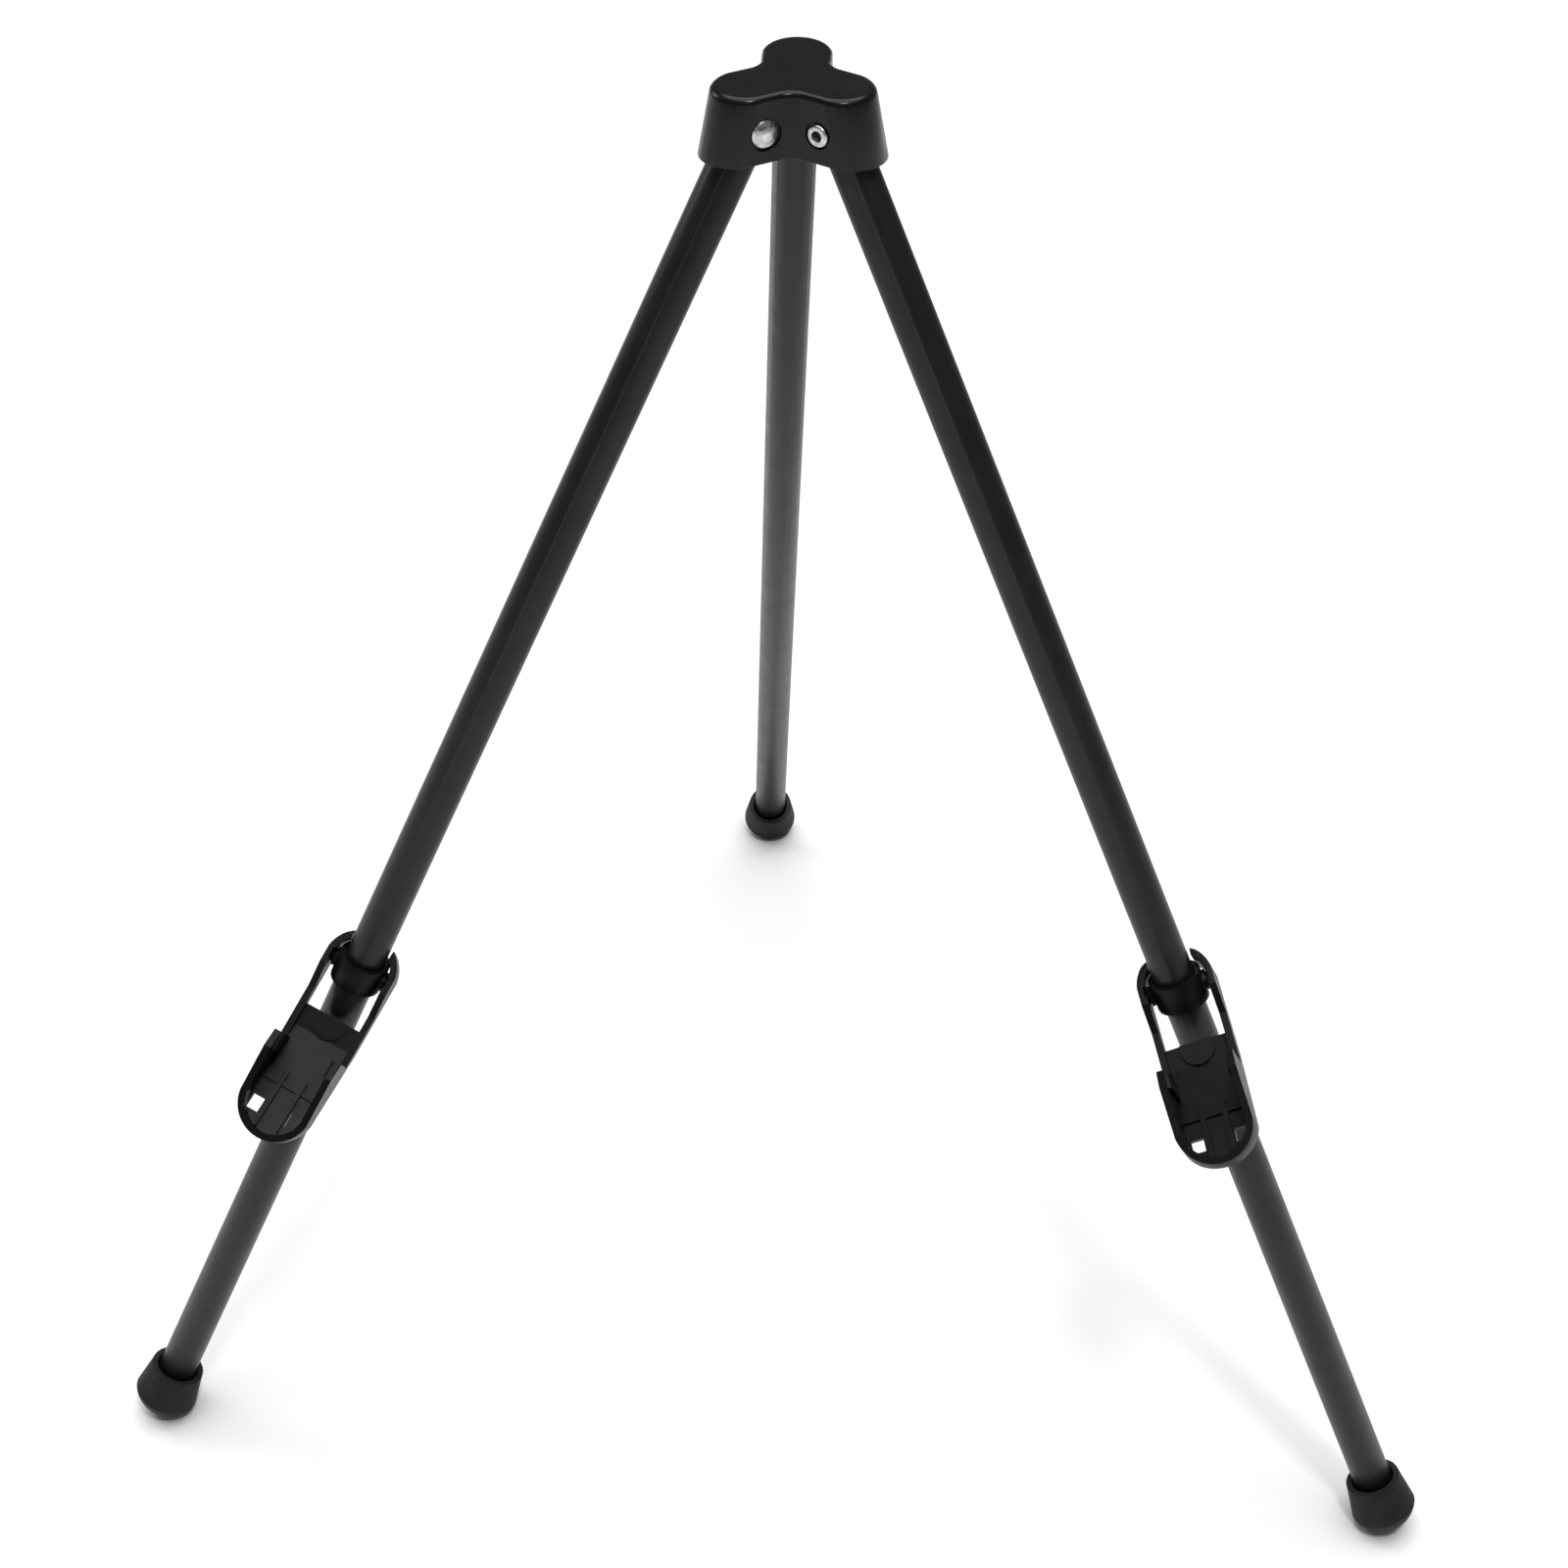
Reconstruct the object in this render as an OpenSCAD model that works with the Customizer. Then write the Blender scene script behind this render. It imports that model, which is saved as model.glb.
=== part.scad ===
// Folding tabletop display easel: three tube legs riveted into a three-lobed hub cap,
// with a folding panel holder that slides and swivels on each front leg.
// Millimetres, +Z up, standing on z = 0 with the display side facing -Y.

/* [Stand] */
// Height of the leg pivots above the table
pivot_z = 453.2; // [380:0.2:520]
// Distance of each leg pivot from the hub's vertical axis
pivot_r = 13.5; // [13.4:0.1:14.5]
// Angle of each open leg from the vertical
splay = 26.4; // [24:0.1:27]

/* [Legs] */
// Sideways swing of the rear leg within its play
rear_play = 6; // [-8:1:8]
// Sideways swing of the left leg within its play
left_play = -8; // [-8:1:8]
// Sideways swing of the right leg within its play
right_play = 0; // [-8:1:8]
// Outside diameter of the leg tube
tube_d = 12.7; // [12.5:0.05:12.8]
// Wall thickness of the leg tube
tube_wall = 0.9; // [0.7:0.1:1.2]
// Length of tube above the pivot
tube_above = 5; // [4.6:0.1:5.2]

/* [Hub cap] */
// Width of each lobe
lobe_w = 19.4; // [19:0.1:20]
// Wall thickness of the cap
cap_wall = 2.4; // [2.2:0.1:2.5]
// Thickness of the top of the cap
cap_top = 2; // [1.6:0.1:2]
// Height of the cap
cap_h = 19.2; // [19:0.1:21]
// Depth of the lower edge of the cap below the pivots
skirt_drop = 8.3; // [8:0.1:8.6]
// Radius of the hollows between the lobes
valley_r = 7; // [6:0.5:7]

/* [Rivets] */
// Diameter of the rivet shank
rivet_d = 4.8; // [4.6:0.1:4.9]
// Diameter of the domed rivet head
rivet_head_d = 8.2; // [7.8:0.1:8.4]
// Height of the domed rivet head
rivet_head_h = 1.9; // [1.6:0.1:2]
// Diameter of the rolled hollow end
rivet_roll_d = 6.4; // [6:0.1:6.6]

/* [Feet] */
// Radius of the rounded sole
sole_r = 11.5; // [11.2:0.1:12]
// Greatest diameter of the flared cap
foot_d = 21.6; // [21:0.1:22]
// Diameter of the upper rim of the cap
foot_rim_d = 18; // [17.5:0.1:18.5]
// Length of the cap along the leg
foot_len = 20; // [18:0.5:22]

/* [Panel holders] */
// Distance from the pivot to the left holder's hinge along the leg
left_holder_s = 302.5; // [200:0.5:310]
// Distance from the pivot to the right holder's hinge along the leg
right_holder_s = 285; // [200:0.5:310]
// Turn of the left holder about its leg, counted from the leg's outward side
left_turn = 53.5; // [-90:0.5:90]
// Turn of the right holder about its leg, counted from the leg's outward side
right_turn = -57.5; // [-90:0.5:90]
// How far the left arm hangs below square to its leg
left_droop = 53; // [30:1:53]
// How far the right arm hangs below square to its leg
right_droop = 39; // [30:1:53]
// Length of an arm from the leg's axis to the tip
arm_len = 61.5; // [58:0.5:62]
// Outside width of an arm
arm_w = 23.8; // [23.6:0.1:24.2]
// Thickness of an arm's walls and floor
arm_wall = 2.2; // [2:0.1:2.2]
// Depth of the arm's floor below the hinge axis
floor_drop = 2.8; // [2.6:0.1:3]
// Half height of the rounded ears
ear_r = 5.4; // [5:0.1:5.6]
// Height of the low ledge walls above the hinge axis
ledge_z = 0; // [-1:0.1:1]
// Height of the front walls above the hinge axis, at their rear end
front_z = 18; // [15:0.1:19]
// Height of the front walls above the hinge axis, at the tip
tip_z = 11.5; // [11:0.1:11.5]
// Start of the front walls, measured from the leg's axis
lip_x = 29.5; // [28:0.5:31]

/* [Hidden] */
$fn = 96;

// The hub's axis stands here, counted from the middle of the whole stand's box.
hub_x = 6.721;
hub_y = -56.61;
rear_az = 90;
left_az = 210;
right_az = 330;
eps = 0.01;
fit = 0.05;
// Round ends and hollows pass the lobes' flat sides by this much, so that the faces cross cleanly.
seam = 0.1;

tube_r = tube_d / 2;
cap_z0 = pivot_z - skirt_drop;
cap_z1 = cap_z0 + cap_h;
lobe_r = lobe_w / 2;
slot_r = lobe_r - cap_wall;
// The open tube's outer side leans on the lower inner edge of the lobe.
stop_gap = 0.2;
stop_r = pivot_r + skirt_drop * tan(splay) + tube_r / cos(splay) + stop_gap;
lobe_low = stop_r - slot_r;
lobe_high = 14.2;
lobe_flare = 0.8;

rivet_r = rivet_d / 2;
pivot_hole_r = rivet_r + fit;
// A worn, oversize hole through the tube gives each leg its sideways play.
max_play = 8;
tube_hole_r = rivet_r / cos(max_play) + tube_r * tan(max_play) + fit;
head_seat = 0.9;
head_seat_r = rivet_head_d / 2 + 0.5;
roll_seat_r = rivet_roll_d / 2 + 0.6;
washer_t = 0.4;
washer_r = 3.8;

// The sole is cut flat where it meets the table.
sole_cut = 1;
foot_s = (pivot_z + sole_cut - sole_r) / cos(splay);
foot_end_s = foot_s + sole_r;
foot_top_s = foot_end_s - foot_len;
tube_end_s = foot_end_s - 7;

bush_r = 7.1;
bush_len = 7.2;
bush_slot = 2.5;
collar_in = bush_r + fit;
collar_r = 8.3;
collar_h = 9.6;
lug_r = 3.2;
lug_gap = 0.6;
trunnion_r = 2.3;
trunnion_len = 1.5;
arm_in = arm_w / 2 - arm_wall;
arm_under = -floor_drop - arm_wall;
// Passage for the leg between the ears' rounded rear ends.
ear_gap = 2 * tube_r + 1.1;
// At its lowest an arm hangs with the lower edge of its floor's opening on the tube.
stop_droop = 53;
opening_x = (tube_r + stop_gap - arm_under * sin(stop_droop)) / cos(stop_droop);
// The floor is level as far as this, then rises to the tip.
rise_x = opening_x + 7.5;
rise_angle = 18;
// The thickened rear end of each front wall, with a sloped top.
tab_t = 1;
tab_len = 6;
tab_slope = 3;

// ---- places -------------------------------------------------------------

// How far a leg swings sideways within its play.
function play(az) = az == rear_az ? rear_play : az == left_az ? left_play : right_play;

// A leg's own frame: origin on its pivot, +X outward, +Y along its fold axis, tube along -Z.
module at_leg(az) {
    at_pivot(az)
        rotate([0, -splay, play(az)])
            children();
}

// A lobe's own frame: as a leg's, but upright.
module at_pivot(az) {
    translate([hub_x, hub_y, 0])
        rotate([0, 0, az])
            translate([pivot_r, 0, pivot_z])
                children();
}

// A holder's own frame: +X along the arm, +Y along the trunnions, +Z up the leg.
module at_holder(az, s, turn) {
    at_leg(az)
        translate([0, 0, -s])
            rotate([0, 0, turn])
                children();
}

// An arm's own frame: a holder's, turned down about the trunnions as far as its arm hangs.
module at_arm(az, s, turn) {
    at_holder(az, s, turn)
        rotate([0, az == left_az ? left_droop : right_droop, 0])
            children();
}

// A round bar along Y, centred on the origin.
module bar_y(r, h) {
    rotate([90, 0, 0])
        cylinder(r = r, h = h, center = true);
}

// ---- hub ----------------------------------------------------------------

// The plan of a three-lobed block: flat-sided lobes, met by round hollows of radius hollow_r.
module lobes_plan(half, hollow_r) {
    reach = (half + hollow_r) / tan(60);
    for (az = [rear_az, left_az, right_az])
        rotate(az) {
            translate([-1, -half])
                square([lobe_low + 2 * half + 1, 2 * half]);
            rotate(60)
                difference() {
                    polygon([
                        [-1, 0],
                        [reach * cos(60) + half * sin(60), -reach * sin(60) + half * cos(60)],
                        [reach * cos(60) + half * sin(60), reach * sin(60) - half * cos(60)],
                    ]);
                    translate([(half + hollow_r) / sin(60) - seam, 0])
                        circle(r = hollow_r);
                }
        }
}

// What lies outside a lobe's round end, which leans outward to low at the lower edge.
module beyond_tip(half, low) {
    translate([low, 0, cap_z0])
        rotate([0, -atan((low - lobe_high) / cap_h), 0])
            difference() {
                translate([0, -2 * half, -cap_h])
                    cube([4 * half, 4 * half, 3 * cap_h]);
                translate([0, 0, -cap_h - 1])
                    cylinder(r = half + seam, h = 3 * cap_h + 2);
            }
}

// A three-lobed block between two heights.
module lobed_block(half, hollow_r, low, z0, z1) {
    translate([hub_x, hub_y, 0])
        difference() {
            translate([0, 0, z0])
                linear_extrude(height = z1 - z0)
                    lobes_plan(half, hollow_r);
            for (az = [rear_az, left_az, right_az])
                rotate([0, 0, az])
                    beyond_tip(half, low);
        }
}

module hub_cap() {
    color("#161616")
        difference() {
            lobed_block(lobe_r, valley_r, lobe_low + lobe_flare, cap_z0, cap_z1);
            lobed_block(slot_r, 1.5, lobe_low, cap_z0 - 1, cap_z1 - cap_top);
            for (az = [rear_az, left_az, right_az])
                at_pivot(az) {
                    bar_y(pivot_hole_r, lobe_w + 2);
                    translate([0, lobe_r - head_seat + 3, 0])
                        bar_y(head_seat_r, 6);
                    translate([0, -lobe_r + head_seat - 3, 0])
                        bar_y(roll_seat_r, 6);
                }
        }
}

// A semi-tubular rivet: domed head on the +Y side, rolled hollow end on the -Y side.
module rivet() {
    seat = lobe_r - head_seat;
    roll = 1.5;
    shank = seat + 0.6;
    dome_r = (pow(rivet_head_d / 2, 2) + pow(rivet_head_h - 0.5, 2)) / (2 * (rivet_head_h - 0.5));
    color("silver")
        rotate([-90, 0, 0])
            union() {
                translate([0, 0, seat])
                    cylinder(r = rivet_head_d / 2, h = 0.5);
                intersection() {
                    translate([0, 0, seat + rivet_head_h - dome_r])
                        sphere(r = dome_r);
                    translate([0, 0, seat + 0.5 - eps])
                        cylinder(r = rivet_head_d / 2, h = rivet_head_h);
                }
                difference() {
                    union() {
                        translate([0, 0, -shank])
                            cylinder(r = rivet_r, h = shank + seat + eps);
                        translate([0, 0, -seat - roll])
                            rotate_extrude()
                                union() {
                                    translate([rivet_roll_d / 2 - roll / 2, roll / 2])
                                        circle(d = roll, $fn = 48);
                                    translate([rivet_r - 0.8, 0])
                                        square([rivet_roll_d / 2 - roll / 2 - rivet_r + 0.8, roll]);
                                }
                    }
                    translate([0, 0, -seat - roll - 1])
                        cylinder(r = rivet_r - 0.8, h = 7);
                }
            }
}

// Two thin nylon washers that take up the play beside a tube.
module washers(az) {
    color("#d8d8d0")
        at_pivot(az)
            for (side = [-1, 1])
                translate([0, side * (slot_r - washer_t / 2), 0])
                    difference() {
                        bar_y(washer_r, washer_t);
                        bar_y(pivot_hole_r, 2);
                    }
}

// ---- legs ---------------------------------------------------------------

module leg_tube(az) {
    color("#1a1a1a")
        at_leg(az)
            difference() {
                translate([0, 0, -tube_end_s])
                    cylinder(r = tube_r, h = tube_end_s + tube_above);
                translate([0, 0, -tube_end_s - 1])
                    cylinder(r = tube_r - tube_wall, h = tube_end_s + tube_above + 2);
                bar_y(tube_hole_r, tube_d + 2);
            }
}

// A moulded plug inside the tube's top, drilled with the tube so that the rivet cannot crush it.
module leg_plug(az) {
    plug_len = 18;
    flange_t = 0.8;
    color("#202020")
        at_leg(az)
            difference() {
                union() {
                    translate([0, 0, tube_above - plug_len])
                        cylinder(r = tube_r - tube_wall - 0.02, h = plug_len);
                    translate([0, 0, tube_above])
                        cylinder(r1 = tube_r - 0.1, r2 = tube_r - 0.9, h = flange_t);
                }
                bar_y(tube_hole_r, tube_d + 2);
            }
}

// A flared rubber cap with a rounded sole, cut flat where it stands on the table.
module foot(az) {
    flare_s = foot_s + sqrt(pow(sole_r, 2) - pow(foot_d / 2, 2));
    rim_gap = 0.9;
    rim_depth = 3;
    color("#141414")
        difference() {
            at_leg(az)
                difference() {
                    union() {
                        translate([0, 0, -flare_s])
                            cylinder(r1 = foot_d / 2, r2 = foot_rim_d / 2, h = flare_s - foot_top_s);
                        intersection() {
                            translate([0, 0, -foot_s])
                                sphere(r = sole_r);
                            translate([0, 0, -foot_end_s - 1])
                                cylinder(r = sole_r + 1, h = foot_end_s + 1 - flare_s + eps);
                        }
                    }
                    translate([0, 0, -tube_end_s])
                        cylinder(r = tube_r + 0.02, h = foot_len);
                    translate([0, 0, -foot_top_s - rim_depth])
                        cylinder(r1 = tube_r, r2 = tube_r + rim_gap, h = rim_depth + eps);
                }
            translate([-300, -300, -20])
                cube([600, 600, 20]);
        }
}

// ---- panel holders ------------------------------------------------------

// A split nylon sleeve that grips the tube and slides along it.
module grip_bush(az, s, turn) {
    color("#262626")
        at_holder(az, s, turn)
            difference() {
                cylinder(r = bush_r, h = bush_len, center = true);
                cylinder(r = tube_r + fit, h = bush_len + 2, center = true);
                translate([-bush_r - 2, -bush_slot / 2, -bush_len])
                    cube([bush_r, bush_slot, 2 * bush_len]);
            }
}

// The collar that turns on the bush, with two lugs and the trunnions that the arm hinges on.
module slider_collar(az, s, turn) {
    color("#1c1c1c")
        at_holder(az, s, turn)
            difference() {
                union() {
                    cylinder(r = collar_r, h = collar_h, center = true);
                    bar_y(lug_r, 2 * (arm_in - lug_gap));
                    bar_y(trunnion_r, 2 * (arm_in + trunnion_len));
                }
                cylinder(r = collar_in, h = bush_len + 0.2, center = true);
                cylinder(r = tube_r + 0.35, h = collar_h + 2, center = true);
            }
}

// The arm's side outline, from the rounded ear over the low ledge to the tall front walls.
module arm_side() {
    ledge_x = 12;
    ear_top_x = 4;
    back = -arm_w / 2 - 1;
    reach = arm_len + 1;
    polygon([
        [back, -3],
        [back + 3, arm_under],
        [rise_x, arm_under],
        [reach, arm_under + (reach - rise_x) * tan(rise_angle)],
        [reach, tip_z],
        [lip_x + tab_len, front_z],
        [lip_x, front_z - tab_slope],
        [lip_x, ledge_z],
        [ledge_x, ledge_z],
        [ear_top_x, ear_r],
        [-8, ear_r],
        [back, 2],
    ]);
}

// The space above the arm's floor, seen from the side.
module above_floor() {
    reach = arm_len + 1;
    polygon([
        [-arm_w, -floor_drop],
        [rise_x, -floor_drop],
        [reach, -floor_drop + (reach - rise_x) * tan(rise_angle)],
        [reach, front_z + 10],
        [-arm_w, front_z + 10],
    ]);
}

// The arm's plan outline: rounded rear end, straight sides and a rounder tip.
module arm_plan(inset) {
    tip_r = 12;
    half = arm_w / 2 - inset;
    intersection() {
        translate([-arm_w, -half])
            square([arm_len + 2 * arm_w, 2 * half]);
        union() {
            circle(r = half + seam);
            translate([0, -half - 1])
                square([arm_len - tip_r, 2 * half + 2]);
            translate([arm_len - tip_r, 0])
                circle(r = tip_r - inset);
        }
    }
}

// A rib of height h on the arm's floor, from x0 to x1 along it and from y0 to y1 across it.
module floor_rib(x0, x1, y0, y1, h) {
    rotate([90, 0, 0])
        translate([0, 0, -y1])
            linear_extrude(height = y1 - y0)
                difference() {
                    translate([x0, arm_under + arm_wall / 2])
                        square([x1 - x0, front_z]);
                    translate([0, h])
                        above_floor();
                    translate([0, -arm_wall / 2])
                        below_floor();
                }
}

// The space below the arm's floor line, seen from the side.
module below_floor() {
    reach = arm_len + 1;
    polygon([
        [-arm_w, -floor_drop],
        [rise_x, -floor_drop],
        [reach, -floor_drop + (reach - rise_x) * tan(rise_angle)],
        [reach, -20],
        [-arm_w, -20],
    ]);
}

module holder_arm(az, s, turn) {
    window = [4.6, 4];
    window_x = arm_len - 9;
    window_y = 6.8;
    rib_t = 1.5;
    rib_h = 1.6;
    boss_r = 5.5;
    entry_w = 2 * trunnion_r - 1.2;
    color("#181818")
        at_arm(az, s, turn)
            difference() {
                union() {
                    difference() {
                        intersection() {
                            rotate([90, 0, 0])
                                linear_extrude(height = arm_w + 2, center = true)
                                    arm_side();
                            translate([0, 0, -20])
                                linear_extrude(height = 60)
                                    arm_plan(0);
                        }
                        intersection() {
                            rotate([90, 0, 0])
                                linear_extrude(height = arm_w + 2, center = true)
                                    above_floor();
                            translate([0, 0, -20])
                                linear_extrude(height = 60)
                                    arm_plan(arm_wall);
                        }
                    }
                    for (side = [-1, 1]) {
                        translate([lip_x, side * (arm_in - tab_t / 2) - tab_t / 2 - eps, -floor_drop - eps])
                            cube([tab_len, tab_t + 2 * eps, floor_drop + front_z - tab_slope]);
                        floor_rib(lip_x + 10, arm_len - 3, side * 3.4 - rib_t / 2, side * 3.4 + rib_t / 2, rib_h);
                    }
                    floor_rib(lip_x + 13, lip_x + 13 + rib_t, -arm_in, arm_in, rib_h / 2);
                    translate([rise_x - boss_r, 0, -floor_drop - eps])
                        cylinder(r = boss_r, h = 0.8);
                }
                translate([0, 0, -20])
                    linear_extrude(height = 40)
                        intersection() {
                            arm_plan(arm_wall);
                            translate([-arm_w, -arm_w])
                                square([arm_w + opening_x, 2 * arm_w]);
                        }
                translate([-arm_w, -ear_gap / 2, -20])
                    cube([arm_w, ear_gap, 40]);
                for (side = [-1, 1]) {
                    translate([window_x - window[0] / 2, side * window_y - window[1] / 2, -20])
                        cube([window[0], window[1], 40]);
                    translate([-entry_w / 2, side > 0 ? arm_in - 1 : -arm_in - 0.5, 0])
                        cube([entry_w, 1.5, 10]);
                }
                bar_y(trunnion_r + fit, 2 * (arm_in + trunnion_len + 0.1));
            }
}

// ---- nodes --------------------------------------------------------------

hub_cap();
at_pivot(rear_az) rivet();  // rear_leg_rivet
at_pivot(left_az) rivet();  // left_leg_rivet
at_pivot(right_az) rivet();  // right_leg_rivet
washers(rear_az);  // rear_leg_washers
washers(left_az);  // left_leg_washers
washers(right_az);  // right_leg_washers
leg_tube(rear_az);  // rear_leg_tube
leg_tube(left_az);  // left_leg_tube
leg_tube(right_az);  // right_leg_tube
leg_plug(rear_az);  // rear_leg_plug
leg_plug(left_az);  // left_leg_plug
leg_plug(right_az);  // right_leg_plug
foot(rear_az);  // rear_foot
foot(left_az);  // left_foot
foot(right_az);  // right_foot
grip_bush(left_az, left_holder_s, left_turn);  // left_grip_bush
grip_bush(right_az, right_holder_s, right_turn);  // right_grip_bush
slider_collar(left_az, left_holder_s, left_turn);  // left_slider_collar
slider_collar(right_az, right_holder_s, right_turn);  // right_slider_collar
holder_arm(left_az, left_holder_s, left_turn);  // left_holder_arm
holder_arm(right_az, right_holder_s, right_turn);  // right_holder_arm
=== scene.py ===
"""A black folding tabletop display easel, standing open, dressed for rendering."""

import math

import bpy
from mathutils import Matrix, Vector

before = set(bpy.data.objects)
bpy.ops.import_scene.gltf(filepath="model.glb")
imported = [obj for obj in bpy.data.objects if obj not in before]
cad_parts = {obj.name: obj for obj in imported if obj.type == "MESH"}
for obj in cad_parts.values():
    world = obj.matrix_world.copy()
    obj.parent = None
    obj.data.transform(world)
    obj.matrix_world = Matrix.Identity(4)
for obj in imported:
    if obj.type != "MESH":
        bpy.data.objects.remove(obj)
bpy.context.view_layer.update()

MM = 0.001
SIDES = ("rear", "left", "right")
FRONT_SIDES = ("left", "right")

# Vertices closer than this are joined, and faces meeting at less than FLAT_ANGLE degrees.
WELD_DISTANCE = 0.002 * MM
FLAT_ANGLE = 0.4
# Edges sharper than this many degrees are rounded.
SHARP_ANGLE = 32.0
RIM_SEGMENTS = 6
FLOOR_SIZE = 30
FLOOR_Z = -0.0001


# ---- node helpers ---------------------------------------------------------


class Paint:
    """A node material being put together round one Principled shader."""

    def __init__(self, name, **sockets):
        self.material = bpy.data.materials.new(name)
        self.material.use_nodes = True
        self.tree = self.material.node_tree
        self.shader = self.tree.nodes["Principled BSDF"]
        for socket, value in sockets.items():
            self.shader.inputs[socket.replace("_", " ")].default_value = value
        self.where = self.tree.nodes.new("ShaderNodeTexCoord").outputs["Object"]
        self.normal = None

    def link(self, start, end):
        self.tree.links.new(start, end)

    def scaled(self, stretch):
        """Object coordinates, stretched along each axis."""
        node = self.tree.nodes.new("ShaderNodeMapping")
        node.inputs["Scale"].default_value = stretch
        self.link(self.where, node.inputs["Vector"])
        return node.outputs["Vector"]

    def noise(self, size, detail=3.0, roughness=0.55, stretch=(1, 1, 1)):
        """Noise whose features are about size metres across."""
        node = self.tree.nodes.new("ShaderNodeTexNoise")
        node.inputs["Scale"].default_value = 1 / size
        node.inputs["Detail"].default_value = detail
        node.inputs["Roughness"].default_value = roughness
        self.link(self.scaled(stretch), node.inputs["Vector"])
        return node.outputs["Fac"]

    def cells(self, size):
        """Distance to the nearest of many random points about size metres apart."""
        node = self.tree.nodes.new("ShaderNodeTexVoronoi")
        node.inputs["Scale"].default_value = 1 / size
        self.link(self.where, node.inputs["Vector"])
        return node.outputs["Distance"]

    def ramp(self, value, low, high, dark, light):
        """A value between low and high as a colour between dark and light."""
        node = self.tree.nodes.new("ShaderNodeValToRGB")
        node.color_ramp.elements[0].position = low
        node.color_ramp.elements[1].position = high
        node.color_ramp.elements[0].color = (*dark, 1)
        node.color_ramp.elements[1].color = (*light, 1)
        self.link(value, node.inputs["Fac"])
        return node.outputs["Color"]

    def span(self, value, low, high):
        """A 0 to 1 value spread between low and high."""
        node = self.tree.nodes.new("ShaderNodeMapRange")
        node.inputs["To Min"].default_value = low
        node.inputs["To Max"].default_value = high
        self.link(value, node.inputs["Value"])
        return node.outputs["Result"]

    def blend(self, factor, first, second):
        """A colour mixed from first to second by factor."""
        node = self.tree.nodes.new("ShaderNodeMix")
        node.data_type = "RGBA"
        self.link(factor, node.inputs["Factor"])
        self.link(first, node.inputs["A"])
        self.link(second, node.inputs["B"])
        return node.outputs["Result"]

    def bump(self, height, distance, strength=1.0):
        """Adds relief, distance metres deep."""
        node = self.tree.nodes.new("ShaderNodeBump")
        node.inputs["Distance"].default_value = distance
        node.inputs["Strength"].default_value = strength
        self.link(height, node.inputs["Height"])
        if self.normal:
            self.link(self.normal, node.inputs["Normal"])
        self.normal = node.outputs["Normal"]
        self.link(self.normal, self.shader.inputs["Normal"])

    def colour(self, value):
        self.link(value, self.shader.inputs["Base Color"])

    def roughness(self, value):
        self.link(value, self.shader.inputs["Roughness"])


# ---- materials ------------------------------------------------------------


def moulded_plastic(name, gloss, dark, light, rough_low, rough_high, grain):
    """Black moulded plastic with a fine spark-eroded grain and a few paler scuffs."""
    paint = Paint(name, Specular_IOR_Level=gloss)
    tone = paint.ramp(paint.noise(9 * MM, 4), 0.3, 0.75, dark, light)
    scuffs = paint.ramp(paint.noise(2.2 * MM, 6, 0.7), 0.66, 0.82, (0, 0, 0), (1, 1, 1))
    worn = tuple(3 * c for c in light)
    scuffed = paint.ramp(paint.noise(4 * MM), 0, 1, light, worn)
    paint.colour(paint.blend(scuffs, tone, scuffed))
    paint.roughness(paint.span(paint.noise(5 * MM, 5), rough_low, rough_high))
    paint.bump(paint.noise(0.35 * MM, 2), grain)
    paint.bump(paint.noise(6 * MM, 2), 0.03 * MM, 0.5)
    return paint.material


def tube_enamel():
    """Black baked enamel on drawn tube: slight orange peel and faint specks of dust."""
    paint = Paint("tube_enamel", Specular_IOR_Level=0.28, Coat_Weight=0.04, Coat_Roughness=0.25)
    tone = paint.ramp(paint.noise(14 * MM, 3), 0.3, 0.7, (0.005, 0.005, 0.0053), (0.009, 0.009, 0.0094))
    specks = paint.ramp(paint.cells(2.4 * MM), 0.0, 0.055, (1, 1, 1), (0, 0, 0))
    dusty = paint.ramp(paint.noise(5 * MM), 0, 1, (0.02, 0.02, 0.02), (0.05, 0.05, 0.05))
    paint.colour(paint.blend(specks, tone, dusty))
    paint.roughness(paint.span(paint.noise(8 * MM, 4), 0.3, 0.46))
    paint.bump(paint.noise(1.3 * MM, 2), 0.012 * MM)
    paint.bump(paint.noise(0.25 * MM, 1), 0.004 * MM)
    return paint.material


def foot_rubber():
    """Matt black rubber, a little paler where it has bloomed and rubbed."""
    paint = Paint("foot_rubber_moulded", Specular_IOR_Level=0.25)
    tone = paint.ramp(paint.noise(5 * MM, 5), 0.3, 0.75, (0.006, 0.006, 0.006), (0.014, 0.014, 0.0137))
    dust = paint.ramp(paint.noise(1.2 * MM, 5, 0.7), 0.6, 0.8, (0, 0, 0), (1, 1, 1))
    dusty = paint.ramp(paint.noise(3 * MM), 0, 1, (0.02, 0.02, 0.02), (0.04, 0.04, 0.038))
    paint.colour(paint.blend(dust, tone, dusty))
    paint.roughness(paint.span(paint.noise(3 * MM, 4), 0.52, 0.74))
    paint.bump(paint.noise(0.5 * MM, 3), 0.03 * MM)
    return paint.material


def rivet_steel():
    """Bright plated steel, dulled and dented by the setting tool."""
    paint = Paint("rivet_steel_plated", Metallic=1.0)
    tone = paint.ramp(paint.noise(1.6 * MM, 5), 0.3, 0.7, (0.36, 0.36, 0.37), (0.74, 0.74, 0.73))
    stains = paint.ramp(paint.noise(2.4 * MM, 4, 0.65), 0.55, 0.68, (0, 0, 0), (1, 1, 1))
    stained = paint.ramp(paint.noise(1 * MM), 0, 1, (0.12, 0.12, 0.12), (0.3, 0.3, 0.3))
    paint.colour(paint.blend(stains, tone, stained))
    paint.roughness(paint.span(paint.noise(1.1 * MM, 5), 0.16, 0.42))
    paint.bump(paint.noise(1.8 * MM, 3), 0.09 * MM)
    paint.bump(paint.noise(0.25 * MM, 2), 0.008 * MM)
    return paint.material


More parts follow.
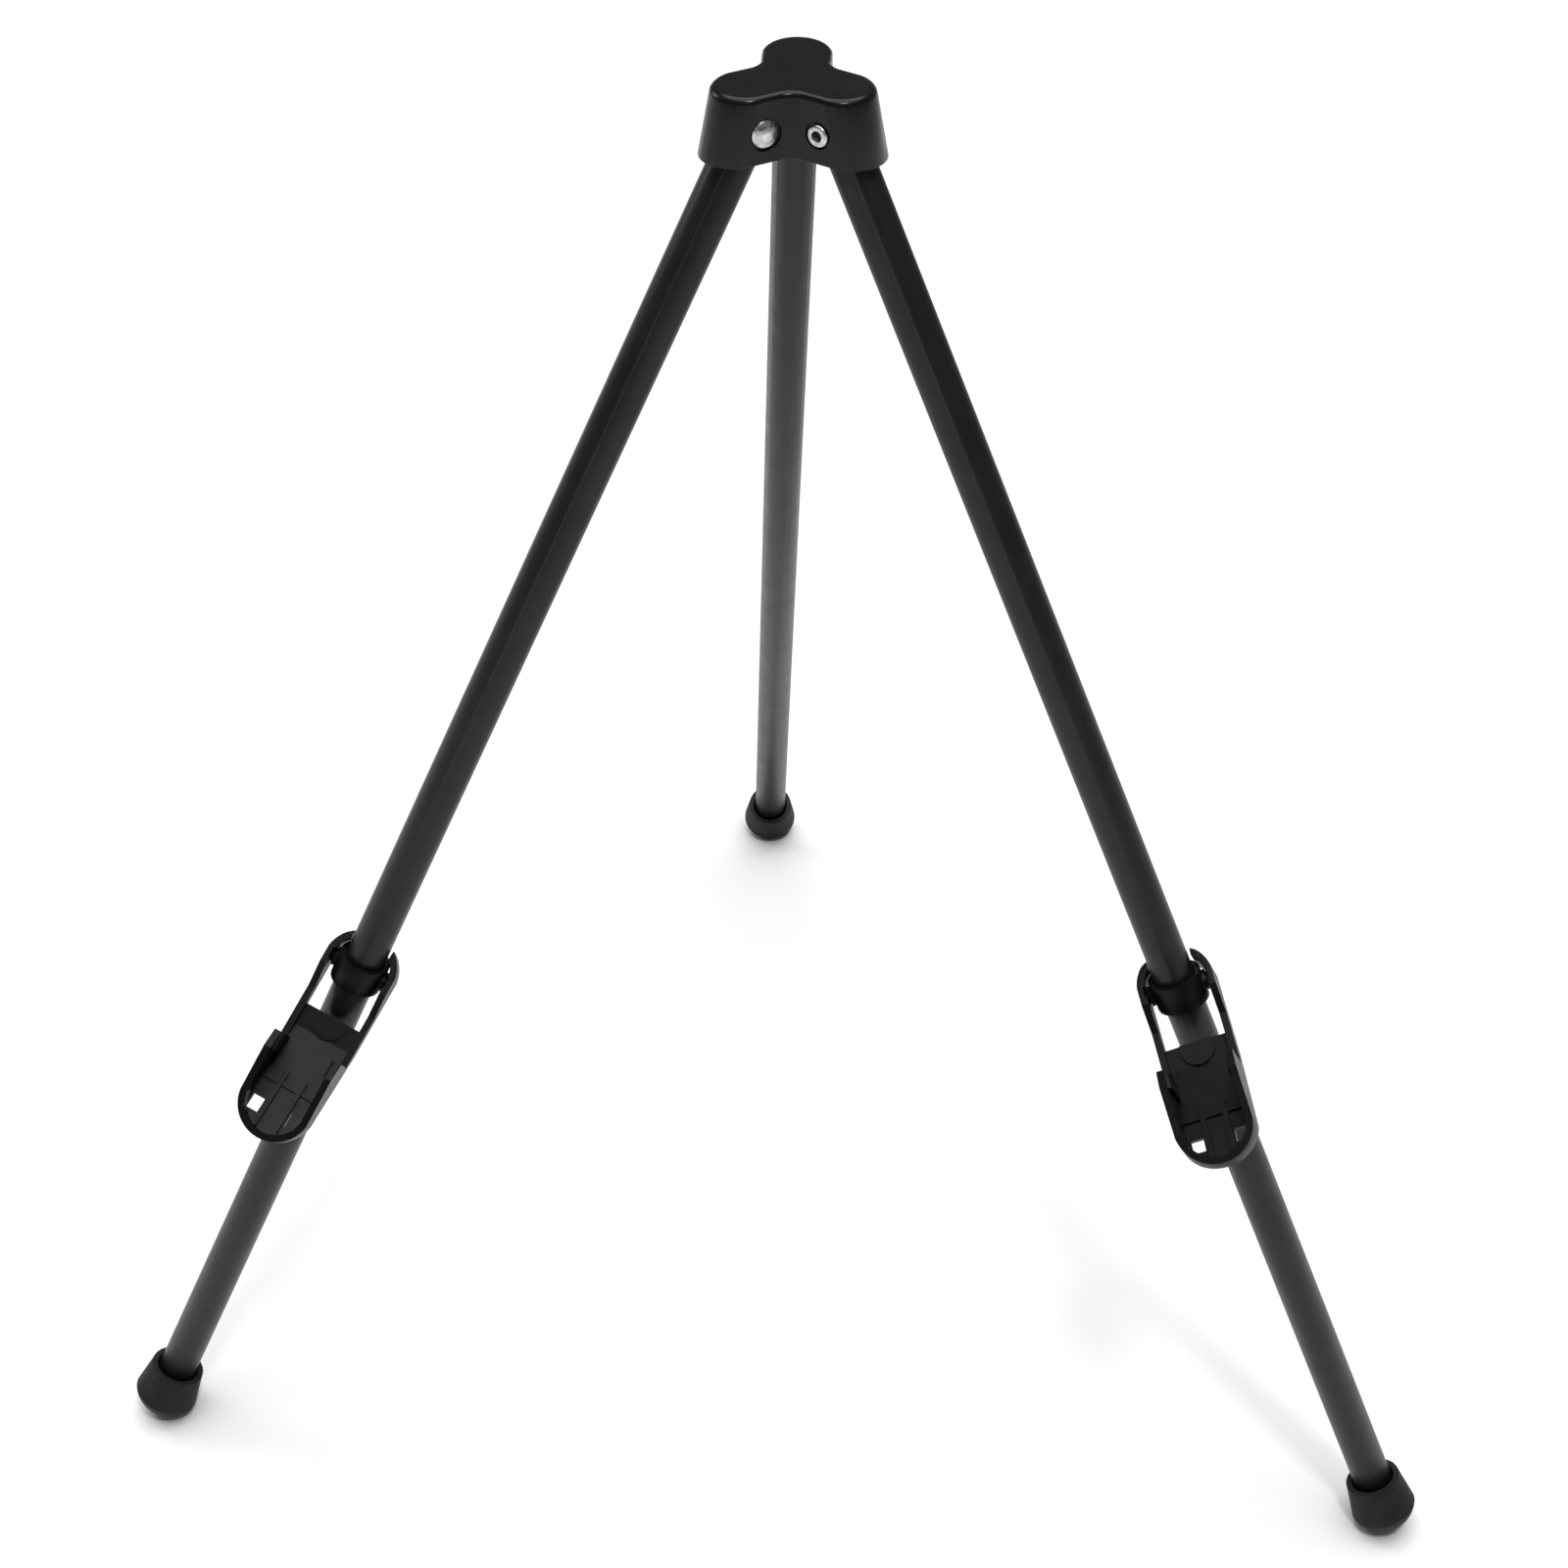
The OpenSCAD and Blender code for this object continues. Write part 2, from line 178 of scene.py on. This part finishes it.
def nylon(name, dark, light):
    """Natural or tinted nylon with a soft surface."""
    paint = Paint(name, Specular_IOR_Level=0.45)
    paint.colour(paint.ramp(paint.noise(2 * MM, 4), 0.3, 0.7, dark, light))
    paint.roughness(paint.span(paint.noise(2 * MM, 3), 0.35, 0.55))
    paint.bump(paint.noise(0.4 * MM, 2), 0.01 * MM)
    return paint.material


def floor_paint():
    """A plain pale floor with the slightest unevenness of tone."""
    paint = Paint("floor_paint", Specular_IOR_Level=0.2)
    paint.colour(paint.ramp(paint.noise(0.35, 3), 0.2, 0.8, (0.86, 0.86, 0.86), (0.88, 0.88, 0.88)))
    paint.roughness(paint.span(paint.noise(0.2, 3), 0.75, 0.85))
    return paint.material


def dress(node, material):
    """Gives a CAD node its material."""
    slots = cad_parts[node].data.materials
    slots.clear()
    slots.append(material)


# ---- edges ----------------------------------------------------------------


def soften(node, width, segments, rim=0.0):
    """Rounds the sharp edges of a CAD node, and the rim of its top if rim is given."""
    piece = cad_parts[node]
    join = piece.modifiers.new("weld", "WELD")
    join.merge_threshold = WELD_DISTANCE
    plain = piece.modifiers.new("plain faces", "DECIMATE")
    plain.decimate_type = "DISSOLVE"
    plain.angle_limit = math.radians(FLAT_ANGLE)
    if rim:
        round_rim(node, rim, RIM_SEGMENTS)
    bevel = piece.modifiers.new("soft edges", "BEVEL")
    bevel.width = width
    bevel.segments = segments
    bevel.limit_method = "ANGLE"
    bevel.angle_limit = math.radians(SHARP_ANGLE)
    bevel.use_clamp_overlap = True
    bevel.harden_normals = True


def round_rim(node, width, segments):
    """Gives the flat top of a CAD node a broad rounded rim, before its other edges are softened."""
    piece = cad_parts[node]
    top = max(v.co.z for v in piece.data.vertices)
    rim = piece.vertex_groups.new(name="rim")
    rim.add([v.index for v in piece.data.vertices if v.co.z > top - 0.01 * MM], 1.0, "REPLACE")
    bevel = piece.modifiers.new("rounded rim", "BEVEL")
    bevel.width = width
    bevel.segments = segments
    bevel.limit_method = "VGROUP"
    bevel.vertex_group = rim.name
    bevel.use_clamp_overlap = False
    bevel.harden_normals = True


# ---- stage ----------------------------------------------------------------


def make_floor():
    bpy.ops.mesh.primitive_plane_add(size=FLOOR_SIZE, location=(0, 0, FLOOR_Z))
    floor = bpy.context.object
    floor.name = "floor"
    floor.data.materials.append(floor_paint())


def hang(name, data):
    """Puts a light or a camera into the scene."""
    thing = bpy.data.objects.new(name, data)
    bpy.context.scene.collection.objects.link(thing)
    return thing


def make_spot_disk(name, place, aim, size, power):
    """A soft disk lamp at place, turned towards aim."""
    data = bpy.data.lights.new(name, "AREA")
    data.shape = "DISK"
    data.size = size
    data.energy = power
    lamp = hang(name, data)
    lamp.location = place
    lamp.rotation_euler = (Vector(aim) - Vector(place)).to_track_quat("-Z", "Y").to_euler()


def make_lights():
    """A dim white room, a broad overhead glow and two small disks for the highlights."""
    world = bpy.data.worlds.new("studio")
    bpy.context.scene.world = world
    world.use_nodes = True
    world.node_tree.nodes["Background"].inputs["Color"].default_value = (1, 1, 1, 1)
    world.node_tree.nodes["Background"].inputs["Strength"].default_value = 0.16
    glow = bpy.data.lights.new("overhead", "SUN")
    glow.energy = 2.9
    glow.angle = math.radians(64)
    hang("overhead", glow).rotation_euler = (math.radians(-11), 0, 0)
    make_spot_disk("key", (0.35, -1.0, 2.3), (0, 0, 0.4), 0.35, 14)
    make_spot_disk("rim", (-1.2, 0.5, 1.0), (0, 0, 0.3), 0.5, 3)


def make_camera():
    """The camera looks down on the open stand from in front."""
    azimuth, dip, roll = math.radians(3.178), math.radians(39.277), math.radians(0.312)
    look = Vector((-math.sin(azimuth) * math.cos(dip), math.cos(azimuth) * math.cos(dip), -math.sin(dip)))
    level = Vector((math.cos(azimuth), math.sin(azimuth), 0))
    down = look.cross(level)
    right = level * math.cos(roll) + down * math.sin(roll)
    up = level * math.sin(roll) - down * math.cos(roll)
    data = bpy.data.cameras.new("camera")
    data.sensor_width = 36
    data.lens = 64.109
    data.clip_start = 0.01
    data.clip_end = 60
    camera = hang("camera", data)
    turn = Matrix((right, up, -look)).transposed().to_4x4()
    camera.matrix_world = Matrix.Translation((0.04179, -0.758152, 0.7915)) @ turn
    bpy.context.scene.camera = camera


# ---- the stand ------------------------------------------------------------

make_camera()

cap_plastic = moulded_plastic(
    "cap_plastic_satin",
    gloss=0.22,
    dark=(0.004, 0.004, 0.0042),
    light=(0.007, 0.007, 0.0072),
    rough_low=0.16,
    rough_high=0.3,
    grain=0.006 * MM,
)
# The holder plastic is darker than the cap plastic: painted shade, standing in for the shade inside the
# holder's trough.
holder_plastic_painted_shade = moulded_plastic(
    "holder_satin_painted_shade",
    gloss=0.14,
    dark=(0.003, 0.003, 0.003),
    light=(0.0055, 0.0055, 0.0055),
    rough_low=0.32,
    rough_high=0.48,
    grain=0.01 * MM,
)
enamel = tube_enamel()
rubber = foot_rubber()
steel = rivet_steel()
washer_nylon = nylon("washer_nylon_natural", (0.55, 0.54, 0.5), (0.66, 0.65, 0.6))
dark_nylon = nylon("bush_nylon_black", (0.016, 0.016, 0.017), (0.028, 0.028, 0.029))

dress("hub_cap", cap_plastic)
soften("hub_cap", 0.3 * MM, 2, rim=1.8 * MM)
for side in SIDES:
    dress(f"{side}_leg_rivet", steel)
    dress(f"{side}_leg_washers", washer_nylon)
    dress(f"{side}_leg_tube", enamel)
    dress(f"{side}_leg_plug", dark_nylon)
    dress(f"{side}_foot", rubber)
    soften(f"{side}_leg_rivet", 0.12 * MM, 2)
    soften(f"{side}_foot", 0.5 * MM, 3)
    soften(f"{side}_leg_tube", 0.12 * MM, 2)
for side in FRONT_SIDES:
    dress(f"{side}_grip_bush", dark_nylon)
    dress(f"{side}_slider_collar", holder_plastic_painted_shade)
    dress(f"{side}_holder_arm", holder_plastic_painted_shade)
    soften(f"{side}_holder_arm", 0.35 * MM, 3)
    soften(f"{side}_slider_collar", 0.3 * MM, 2)

make_floor()
make_lights()

bpy.context.scene.view_settings.view_transform = "Standard"
